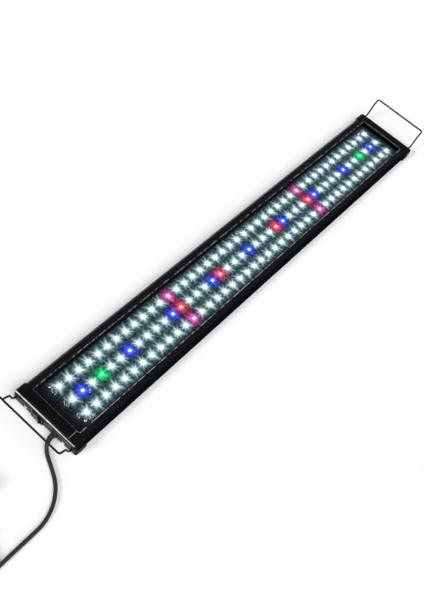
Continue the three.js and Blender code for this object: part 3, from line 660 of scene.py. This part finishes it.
def cut_away(piece, bm):
    """Takes the solids in bm out of a piece for good."""
    mesh = bpy.data.meshes.new("cutter")
    bmesh.ops.recalc_face_normals(bm, faces=bm.faces)
    bm.to_mesh(mesh)
    bm.free()
    cutter = bpy.data.objects.new("cutter", mesh)
    scene.collection.objects.link(cutter)
    cut = piece.modifiers.new("cut", "BOOLEAN")
    cut.object = cutter
    cut.operation = "DIFFERENCE"
    cut.solver = "EXACT"
    bpy.context.view_layer.update()
    graph = bpy.context.evaluated_depsgraph_get()
    shaped = bpy.data.meshes.new_from_object(piece.evaluated_get(graph))
    piece.modifiers.clear()
    piece.data = shaped
    bpy.data.objects.remove(cutter)


def body_shell():
    half = body_half()
    mirrored = [(-y, z, radius) for y, z, radius in half[::-1]]
    section = rounded_section(half + mirrored)
    bm = bmesh.new()
    ends = []
    for x in (-BODY_HALF_LENGTH, BODY_HALF_LENGTH):
        ends.append([bm.verts.new((x * MM, p.x * MM, p.y * MM)) for p in section])
    count = len(section)
    for k in range(count):
        m = (k + 1) % count
        bm.faces.new((ends[0][k], ends[0][m], ends[1][m], ends[1][k]))
    bm.faces.new(ends[0])
    bm.faces.new(ends[1])
    bmesh.ops.recalc_face_normals(bm, faces=bm.faces)
    smooth_faces(bm, 30)
    body = new_piece("body_shell", bm, ANODISED, "fixture", "anodised_body", "body_extrusion")
    cutters = bmesh.new()
    beyond = BODY_HALF_LENGTH + 1
    for near, far in CHAMBERS:
        for span in ((near, far), (-far, -near)):
            block(cutters, (-beyond, beyond), span, (BACK_PLATE, WEB_BOTTOM))
    cut_away(body, cutters)
    cutters = bmesh.new()
    for span in ((NOTCH_START, beyond), (-beyond, -NOTCH_START)):
        block(cutters, span, (-NOTCH_HALF_WIDTH, NOTCH_HALF_WIDTH), (BACK_PLATE, NOTCH_TOP))
    rod = [(0, -beyond), (LEG_CHANNEL_RADIUS, -beyond), (LEG_CHANNEL_RADIUS, beyond), (0, beyond)]
    for y in (-LEG_OFFSET, LEG_OFFSET):
        turned(cutters, rod, along((1, 0, 0), (0, y, LEG_HEIGHT)), 24)
    cut_away(body, cutters)
    bm = bmesh.new()
    bm.from_mesh(body.data)
    smooth_faces(bm, 30)
    bm.to_mesh(body.data)
    bm.free()


body_shell()
for end in ("power", "far"):
    finished("end_cap_" + end, CAP, 0.0004)
    finished("cap_cover_" + end, CAP, 0.0005)
finished("switch_body", SWITCH, 0.00035)
finished("switch_rocker", SWITCH, 0.0005, 3)
tie = finished("coil_tie", RUBBER, 0.0003)
for node in ("adapter_base", "adapter_cover"):
    finished(node, SHELL, 0.0005, 3)
for node in ("adapter_blade_left", "adapter_blade_right"):
    finished(node, STEEL, 0.0003, 3)

kept = {
    "lens_panel": LENS, "thermal_pad": PAD, "lens_seal_left": RUBBER, "lens_seal_right": RUBBER,
    "cap_gasket_power": RUBBER, "cap_gasket_far": RUBBER, "switch_pin": STEEL,
    "junction_board": GREEN, "adapter_board": GREEN, "terminal_block": IVORY,
    "lead_core_positive": RED, "board_wire_positive": RED,
    "lead_core_negative": RUBBER, "board_wire_negative": RUBBER,
}
for index in (1, 2, 3):
    kept[f"switch_terminal_{index}"] = BRASS
    kept[f"switch_wire_{index}"] = RUBBER
for end in ("power", "far"):
    for side in ("left", "right"):
        kept[f"leg_stop_{end}_{side}"] = STEEL
for node, material in kept.items():
    mesh = frame["nodes"][node].data
    mesh.materials.clear()
    mesh.materials.append(material)

# ---------- turned pieces: gland, bushes, adapter relief ----------


def turned_piece(name, profile, direction, place, material, body, slot, *replaced):
    bm = bmesh.new()
    turned(bm, profile, along(direction, place))
    bmesh.ops.recalc_face_normals(bm, faces=bm.faces)
    smooth_faces(bm)
    return new_piece(name, bm, material, body, slot, *replaced)


gland = turned_piece(
    "gland_ring",
    [(2.95, -9), (4, -9), (4, 0.1), (5.15, 0.1), (5.4, 0.35), (5.4, 1.0), (5.1, 1.15),
     (5.1, 1.45), (5.3, 1.6), (5.25, 2.0), (4.9, 2.35), (4.2, 2.6), (3.3, 2.6), (2.95, 2.3),
     (2.95, -9)],
    (-1, 0, 0), (-HALF_LENGTH, -19.5, 8), RUBBER, "fixture", "black_rubber", "lead_gland")
turned_piece(
    "adapter_boot",
    [(0, -15.2), (3.4, -15.2), (3.7, -14.9), (3.8, -13), (3.3, -12.6), (3.3, -11.6),
     (3.95, -11.2), (4.05, -9.2), (3.5, -8.8), (3.5, -7.8), (4.2, -7.4), (4.35, -5.2),
     (3.8, -4.8), (3.8, -3.8), (4.6, -3.4), (5.0, -0.7), (4.8, -0.3), (4, -0.3), (4, 3.6),
     (0, 3.6)],
    (1, 0, 0), (-628, 6, 8), RUBBER, "fixture", "black_rubber", "adapter_strain_relief")
for end, sign in (("power", -1), ("far", 1)):
    for side, across in (("left", 1), ("right", -1)):
        turned_piece(
            f"bush_{end}_{side}",
            [(1.7, -7), (2.6, -7), (2.6, 0.2), (3.1, 0.2), (3.2, 0.35), (3.2, 0.75),
             (2.95, 1), (2.0, 1), (1.7, 0.75), (1.7, -7)],
            (sign, 0, 0), (sign * HALF_LENGTH, across * LEG_OFFSET, LEG_HEIGHT),
            RUBBER, "fixture", "black_rubber", f"leg_bush_{end}_{side}")

# ---------- screws with cross recesses ----------

RECESS_REACH, RECESS_ARM, RECESS_DEPTH = 1.35, 0.3, 0.8
CAP_SCREW_INSET, CAP_SCREW_Y = 1.35, 36


def cross_recess(bm, matrix, reach, arm, depth):
    """A tapered cross that is cut out of a screw's head."""
    loops = []
    for share, height in ((1.0, 0.3), (0.45, -depth)):
        r, a = reach * share, arm * (0.6 + 0.4 * share)
        outline = [(r, -a), (r, a), (a, a), (a, r), (-a, r), (-a, a), (-r, a), (-r, -a),
                   (-a, -a), (-a, -r), (a, -r), (a, -a)]
        loops.append([bm.verts.new(matrix @ (Vector((x, y, height)) * MM)) for x, y in outline])
    bm.faces.new(loops[0])
    bm.faces.new(loops[1][::-1])
    for k in range(12):
        m = (k + 1) % 12
        bm.faces.new((loops[0][m], loops[0][k], loops[1][k], loops[1][m]))
    bmesh.ops.recalc_face_normals(bm, faces=bm.faces)


def screw(name, profile, top, direction, place, body, slot, node):
    piece = turned_piece(name, profile, direction, place, STEEL, body, slot, node)
    bm = bmesh.new()
    head = along(direction, place) @ Matrix.Translation((0, 0, top * MM))
    cross_recess(bm, head, RECESS_REACH, RECESS_ARM, RECESS_DEPTH)
    cut_away(piece, bm)
    return piece


for end, sign in (("power", -1), ("far", 1)):
    for side, across in (("left", 1), ("right", -1)):
        screw(f"cross_screw_{end}_{side}",
              [(0, -12), (1.5, -12), (1.5, 0), (2.7, 0), (2.9, 0.2), (2.85, 0.7), (2.3, 1.1),
               (1.5, 1.28), (0, 1.3)],
              1.3, (sign, 0, 0), (sign * (HALF_LENGTH - CAP_SCREW_INSET), across * CAP_SCREW_Y, 5),
              "fixture", "bright_steel", f"cap_screw_{end}_{side}")

# ---------- LED board ----------

LED_PITCH = 19.0
ROW_SPACING = 26.6
LEDS_PER_ROW = 43
FIRST_LED = 8 - (LEDS_PER_ROW - 1) / 2 * LED_PITCH
BOARD_X = 422.5
BOARD_Y = 41.0
BOARD_BOTTOM = 10.0
BOARD_TOP = 11.4
BOARD_SCREWS = [(x, y) for x in (-400.5, 17.5, 397.5) for y in (34.5, -34.5)]

# Painted glow on the board: a faint emission everywhere, and a brighter one on the board's rim.
BOARD_GLOW = (0.0015, 0.0007, 0.003) # what shows of the board away from every LED
BOARD_RIM_GLOW = (0.004, 0.0035, 0.008, 1)
GLOW_REACH = 60                      # an LED further off along the row adds nothing
WHITE_GLOW, WHITE_GLOW_WIDTH = 0.075, 12.8
COLOUR_GLOW, COLOUR_GLOW_WIDTH = 0.7, 9.5
WHITE_STAR, COLOUR_STAR = 1.2, 0.8
OFF_EVERY_STAR = (40, 40)
WHITE_FILLING = (2, 2.2, 2.2)

WHITE = (0.9, 1.0, 0.99)
PALE_TEAL = (0.38, 0.92, 1.08)
COLOURS = {
    # halo on the board, star, lit filling
    "blue": ((0.02, 0.03, 1.0), (0.12, 0.2, 1.0), (0.5, 0.95, 1.0)),
    "green": ((0.0, 0.75, 0.16), (0.0, 0.8, 0.25), (0.1, 1.0, 0.65)),
    "red": ((1.0, 0.05, 0.12), (1.0, 0.12, 0.16), (1.0, 0.5, 0.5)),
    "pink": ((0.8, 0.06, 0.45), (1.0, 0.25, 0.6), (1.0, 0.75, 1.0)),
}


def led_colour(row, number):
    if row != 0:
        return "pink" if number in (13, 31) else "white"
    if number in (13, 18, 26, 31):
        return "red"
    if number in (4, 40):
        return "green"
    return "blue" if number % 5 == 2 else "white"


leds = []
for row in (-1, 0, 1):
    for i in range(LEDS_PER_ROW):
        colour = led_colour(row, i + 1)
        place = (FIRST_LED + i * LED_PITCH, row * ROW_SPACING)
        leds.append((place, colour, draw.random()))


def glow_at(x, y):
    """The light that falls on the board at a place, from every LED near it."""
    total = list(BOARD_GLOW)
    for (led_x, led_y), colour, _ in leds:
        if abs(led_x - x) > GLOW_REACH:
            continue
        distance = math.hypot(led_x - x, led_y - y)
        if colour == "white":
            share = WHITE_GLOW * math.exp(-(distance / WHITE_GLOW_WIDTH) ** 2)
            tint = PALE_TEAL
        else:
            share = COLOUR_GLOW * math.exp(-(distance / COLOUR_GLOW_WIDTH) ** 2)
            tint = COLOURS[colour][0]
        for k in range(3):
            total[k] += share * tint[k]
    return total


def grid_lines(start, end, first, step):
    lines = [start]
    value = first + math.ceil((start - first) / step + 1e-6) * step
    while value < end - 0.2:
        if value > start + 0.2:
            lines.append(value)
        value += step
    return lines + [end]


def nearest_led(x, y):
    return min(leds, key=lambda led: math.hypot(led[0][0] - x, led[0][1] - y))


def lit_panel():
    xs = grid_lines(-BOARD_X, BOARD_X, FIRST_LED, LED_PITCH / 8)
    ys = grid_lines(-BOARD_Y, BOARD_Y, 0, ROW_SPACING / 12)
    bm = bmesh.new()
    local = bm.loops.layers.uv.new("local")
    tint = bm.loops.layers.float_color.new("tint")
    glow = bm.verts.layers.float_color.new("glow")
    grid = []
    for x in xs:
        column = []
        for y in ys:
            vert = bm.verts.new((x * MM, y * MM, BOARD_TOP * MM))
            vert[glow] = (*glow_at(x, y), 1)
            column.append(vert)
        grid.append(column)
    for a, b, x0, x1 in zip(grid, grid[1:], xs, xs[1:]):
        for k in range(len(ys) - 1):
            face = bm.faces.new((a[k], b[k], b[k + 1], a[k + 1]))
            middle = ((x0 + x1) / 2, (ys[k] + ys[k + 1]) / 2)
            (led_x, led_y), colour, turn = nearest_led(*middle)
            core = WHITE if colour == "white" else COLOURS[colour][1]
            level = WHITE_STAR if colour == "white" else COLOUR_STAR
            for loop in face.loops:
                place = loop.vert.co
                loop[local].uv = (place.x / MM - led_x, place.y / MM - led_y)
                loop[tint] = (*[level * c for c in core], turn)
    rim = [e for e in bm.edges if e.is_boundary]
    skirt = bmesh.ops.extrude_edge_only(bm, edges=rim)
    low = [v for v in skirt["geom"] if isinstance(v, bmesh.types.BMVert)]
    for vert in low:
        vert.co.z = BOARD_BOTTOM * MM
        vert[glow] = BOARD_RIM_GLOW
    for face in bm.faces:
        if face.normal.z < 0.5:
            for loop in face.loops:
                loop[local].uv = OFF_EVERY_STAR
                loop[tint] = (0, 0, 0, 0)
    bottom = [e for e in bm.edges if e.is_boundary]
    bmesh.ops.contextual_create(bm, geom=bottom)
    for face in bm.faces:
        if len(face.verts) > 4:
            for loop in face.loops:
                loop[local].uv = OFF_EVERY_STAR
    return new_piece("lit_board", bm, BOARD, "fixture", "led_board", "led_board")


lit_panel()


def square_ring(bm, place, half, corner, z):
    """The eight corners of a square with its corners cut, at a height."""
    x, y = place
    ring = []
    for sx, sy in ((1, 1), (-1, 1), (-1, -1), (1, -1)):
        pair = [(half - corner, half), (half, half - corner)]
        if sx * sy > 0:
            pair = pair[::-1]
        for dx, dy in pair:
            ring.append(bm.verts.new(((x + sx * dx) * MM, (y + sy * dy) * MM, z * MM)))
    return ring


def circle_ring(bm, place, radius, z):
    x, y = place
    ring = []
    for k in range(8):
        angle = math.radians(22.5 + 45 * k)
        ring.append(bm.verts.new(((x + radius * math.cos(angle)) * MM,
                                  (y + radius * math.sin(angle)) * MM, z * MM)))
    return ring


def join_rings(bm, rings):
    for a, b in zip(rings, rings[1:]):
        for k in range(8):
            m = (k + 1) % 8
            bm.faces.new((a[k], a[m], b[m], b[k]))
    bm.faces.new(rings[0][::-1])
    bm.faces.new(rings[-1])


def colour_faces(bm, first, tint, colour):
    """Gives the faces made since first the colour of an LED's filling."""
    core = WHITE_FILLING if colour == "white" else COLOURS[colour][2]
    bm.faces.ensure_lookup_table()
    for face in bm.faces[first:]:
        for loop in face.loops:
            loop[tint] = (*core, 1)


def led_packages():
    """Square moulded packages, each with a round cup in its top."""
    bm = bmesh.new()
    tint = bm.loops.layers.float_color.new("tint")
    for place, colour, _ in leds:
        before = len(bm.faces)
        top = BOARD_TOP + 1.15
        join_rings(bm, [
            square_ring(bm, place, 2.45, 0.25, BOARD_TOP + 0.02),
            square_ring(bm, place, 2.5, 0.3, BOARD_TOP + 0.25),
            square_ring(bm, place, 2.42, 0.35, top - 0.12),
            square_ring(bm, place, 2.3, 0.35, top),
            circle_ring(bm, place, 1.95, top),
            circle_ring(bm, place, 1.6, top - 0.55),
        ])
        colour_faces(bm, before, tint, colour)
    bmesh.ops.recalc_face_normals(bm, faces=bm.faces)
    smooth_faces(bm, 30)
    return new_piece("led_packages", bm, PACKAGE, "fixture", "led_board")


def led_domes():
    """The lit filling of each package, slightly crowned, in the LED's own colour."""
    bm = bmesh.new()
    tint = bm.loops.layers.float_color.new("tint")
    for place, colour, _ in leds:
        before = len(bm.faces)
        low = BOARD_TOP + 0.65
        join_rings(bm, [
            circle_ring(bm, place, 1.5, low), circle_ring(bm, place, 1.78, low + 0.35),
            circle_ring(bm, place, 1.4, low + 0.5), circle_ring(bm, place, 0.7, low + 0.55),
        ])
        colour_faces(bm, before, tint, colour)
    bmesh.ops.recalc_face_normals(bm, faces=bm.faces)
    smooth_faces(bm, 50)
    return new_piece("led_domes", bm, DOME, "fixture", "led_board")


SMALL_PARTS = [
    # x, y, and the turn of each chip part in degrees
    (-401.5, 29.5, 25), (-403.5, 26.2, 70), (-399.6, 23.2, 110), (-402.6, 21.2, 10),
    (-402.5, 4.6, 60), (-404.3, 0.8, 115), (-402, -3.4, 20), (-398.8, 7.4, 90),
    (-402.4, -20.8, 35), (-398.5, -34.2, 95), (-394.6, -36.4, 15), (-389.6, -37.2, 60),
    (-385.4, -35.6, 120), (-404.3, -25.4, 80), (-366.2, -7.8, 40), (-363.4, -5.4, 120),
    (402.4, 21.6, 30), (404.6, -4.2, 100), (401.6, 5.2, 15), (394.2, -34.2, 70),
    (399.6, -22.2, 120), (384.6, 6.6, 45),
]


def small_parts():
    """Chip parts on the board's ends: a dark middle between two tinned ends."""
    tinned = bmesh.new()
    dark = bmesh.new()
    for x, y, turn in SMALL_PARTS:
        place = Matrix.Translation(Vector((x, y, 0)) * MM) @ Matrix.Rotation(
            math.radians(turn), 4, "Z")
        for bm, spans in ((tinned, ((-1.5, -0.6), (0.6, 1.5))), (dark, ((-0.6, 0.6),))):
            for span in spans:
                before = len(bm.verts)
                block(bm, span, (-0.8, 0.8), (BOARD_TOP + 0.02, BOARD_TOP + 0.6))
                bm.verts.ensure_lookup_table()
                for vert in bm.verts[before:]:
                    vert.co = place @ vert.co
    for bm, name, material in ((tinned, "tinned_ends", TINNED), (dark, "chip_middles", CHIP)):
        bmesh.ops.recalc_face_normals(bm, faces=bm.faces)
        new_piece(name, bm, material, "fixture", "led_board")


led_packages()
led_domes()
small_parts()

for index, (x, y) in enumerate(BOARD_SCREWS):
    screw(f"cross_board_screw_{index + 1}",
          [(0, -5), (1.4, -5), (1.4, 0.12), (2.6, 0.12), (2.8, 0.3), (2.75, 0.8), (2.3, 1.4),
           (1.4, 1.8), (0, 1.88)],
          1.88, (0, 0, 1), (x, y, BOARD_TOP), "fixture", "bright_steel",
          f"board_screw_{index + 1}")

# ---------- wire brackets ----------

WIRE_RADIUS = 1.5
LEG_LENGTH = 110
KNEE_RUN, KNEE_HEIGHT = 4.5, 20.5
JOG_RUN, JOG_HEIGHT = 5.5, 34.5
CROSSBAR_RUN, CROSSBAR_HEIGHT = 12.4, 41
WIRE_BEND = 3.6
STUB_START = LEG_OFFSET - 4.0        # where the stub on the power end's crossbar begins


def rounded_corners(corners, radius, segments):
    points = [corners[0]]
    for before, corner, after in zip(corners, corners[1:], corners[2:]):
        back = (before - corner).normalized()
        onward = (after - corner).normalized()
        half = back.angle(onward) / 2
        centre = corner + (back + onward).normalized() * (radius / math.sin(half))
        start = corner + back * (radius / math.tan(half)) - centre
        end = corner + onward * (radius / math.tan(half)) - centre
        sweep_angle = start.angle(end)
        for k in range(segments + 1):
            share = k / segments
            arm = start * math.sin((1 - share) * sweep_angle) + end * math.sin(share * sweep_angle)
            points.append(centre + arm / math.sin(sweep_angle))
    return points + [corners[-1]]


def wire_bracket(name, node, sign, leg_out):
    leg_end = HALF_LENGTH + leg_out - LEG_LENGTH
    leg_start = HALF_LENGTH + leg_out
    knee = leg_start + KNEE_RUN
    jog = knee + JOG_RUN
    crossbar = jog + CROSSBAR_RUN
    half = [(leg_end, LEG_HEIGHT), (leg_start, LEG_HEIGHT), (knee, KNEE_HEIGHT),
            (jog, JOG_HEIGHT), (crossbar, CROSSBAR_HEIGHT)]
    corners = [Vector((sign * x, LEG_OFFSET, z)) * MM for x, z in half]
    corners += [Vector((sign * x, -LEG_OFFSET, z)) * MM for x, z in half[::-1]]
    line = rounded_corners(corners, WIRE_BEND * MM, 8)
    bm = bmesh.new()
    sweep(bm, line, lambda i: WIRE_RADIUS * MM, 16)
    if sign < 0:
        profile = [(0, -0.2), (1.42, -0.2), (1.42, 5.6), (1.5, 6.4), (1.8, 7.2), (1.88, 7.9),
                   (1.6, 8.6), (0.9, 9), (0, 9.1)]
        turned(bm, profile, along((0, 1, 0), (-crossbar, STUB_START, CROSSBAR_HEIGHT)), 16)
    bmesh.ops.recalc_face_normals(bm, faces=bm.faces)
    smooth_faces(bm, 50)
    return new_piece(name, bm, WIRE, body_of(node), slot_of(node), node)


wire_bracket("wire_bracket_power", "bracket_power", -1, 4.5)
wire_bracket("wire_bracket_far", "bracket_far", 1, 11.5)

# ---------- floor, world and lights ----------

FLOOR_SIZE, FLOOR_HEIGHT = 6, -0.0003
HORIZON_COLOUR, OVERHEAD_COLOUR = (0.85, 0.87, 0.9, 1), (0.11, 0.11, 0.12, 1)
WORLD_STRENGTH = 0.8


def pale_floor():
    g = Graph("pale_floor")
    cloud = g.noise(3, 3, 0.5)
    g.set(Base_Color=g.colours(cloud, (0.86, 0.86, 0.86), (0.88, 0.88, 0.88)), Roughness=0.9,
          Specular_IOR_Level=0.1)
    return g.material


bm = bmesh.new()
bmesh.ops.create_grid(bm, x_segments=4, y_segments=4, size=FLOOR_SIZE)
bmesh.ops.translate(bm, verts=bm.verts, vec=(0, 0, FLOOR_HEIGHT))
floor_mesh = bpy.data.meshes.new("floor")
bm.to_mesh(floor_mesh)
bm.free()
floor = bpy.data.objects.new("floor", floor_mesh)
floor_mesh.materials.append(pale_floor())
scene.collection.objects.link(floor)

world = bpy.data.worlds.new("studio")
world.use_nodes = True
scene.world = world
tree = world.node_tree
direction = tree.nodes.new("ShaderNodeTexCoord").outputs["Generated"]
height = tree.nodes.new("ShaderNodeSeparateXYZ")
tree.links.new(direction, height.inputs[0])
ramp = tree.nodes.new("ShaderNodeValToRGB")
tree.links.new(height.outputs[2], ramp.inputs[0])
ramp.color_ramp.elements[0].position = 0.1
ramp.color_ramp.elements[0].color = HORIZON_COLOUR
ramp.color_ramp.elements[1].position = 0.5
ramp.color_ramp.elements[1].color = OVERHEAD_COLOUR
tree.links.new(ramp.outputs[0], tree.nodes["Background"].inputs["Color"])
tree.nodes["Background"].inputs["Strength"].default_value = WORLD_STRENGTH


def sun(name, towards, strength, spread):
    data = bpy.data.lights.new(name, "SUN")
    data.energy = strength
    data.angle = math.radians(spread)
    lamp = bpy.data.objects.new(name, data)
    scene.collection.objects.link(lamp)
    lamp.rotation_mode = "QUATERNION"
    lamp.rotation_quaternion = Vector(towards).to_track_quat("Z", "Y")


sun("key", (-0.79, 0.22, 0.55), 1.7, 14)
sun("fill", (-0.28, -0.5, 0.82), 2.75, 60)
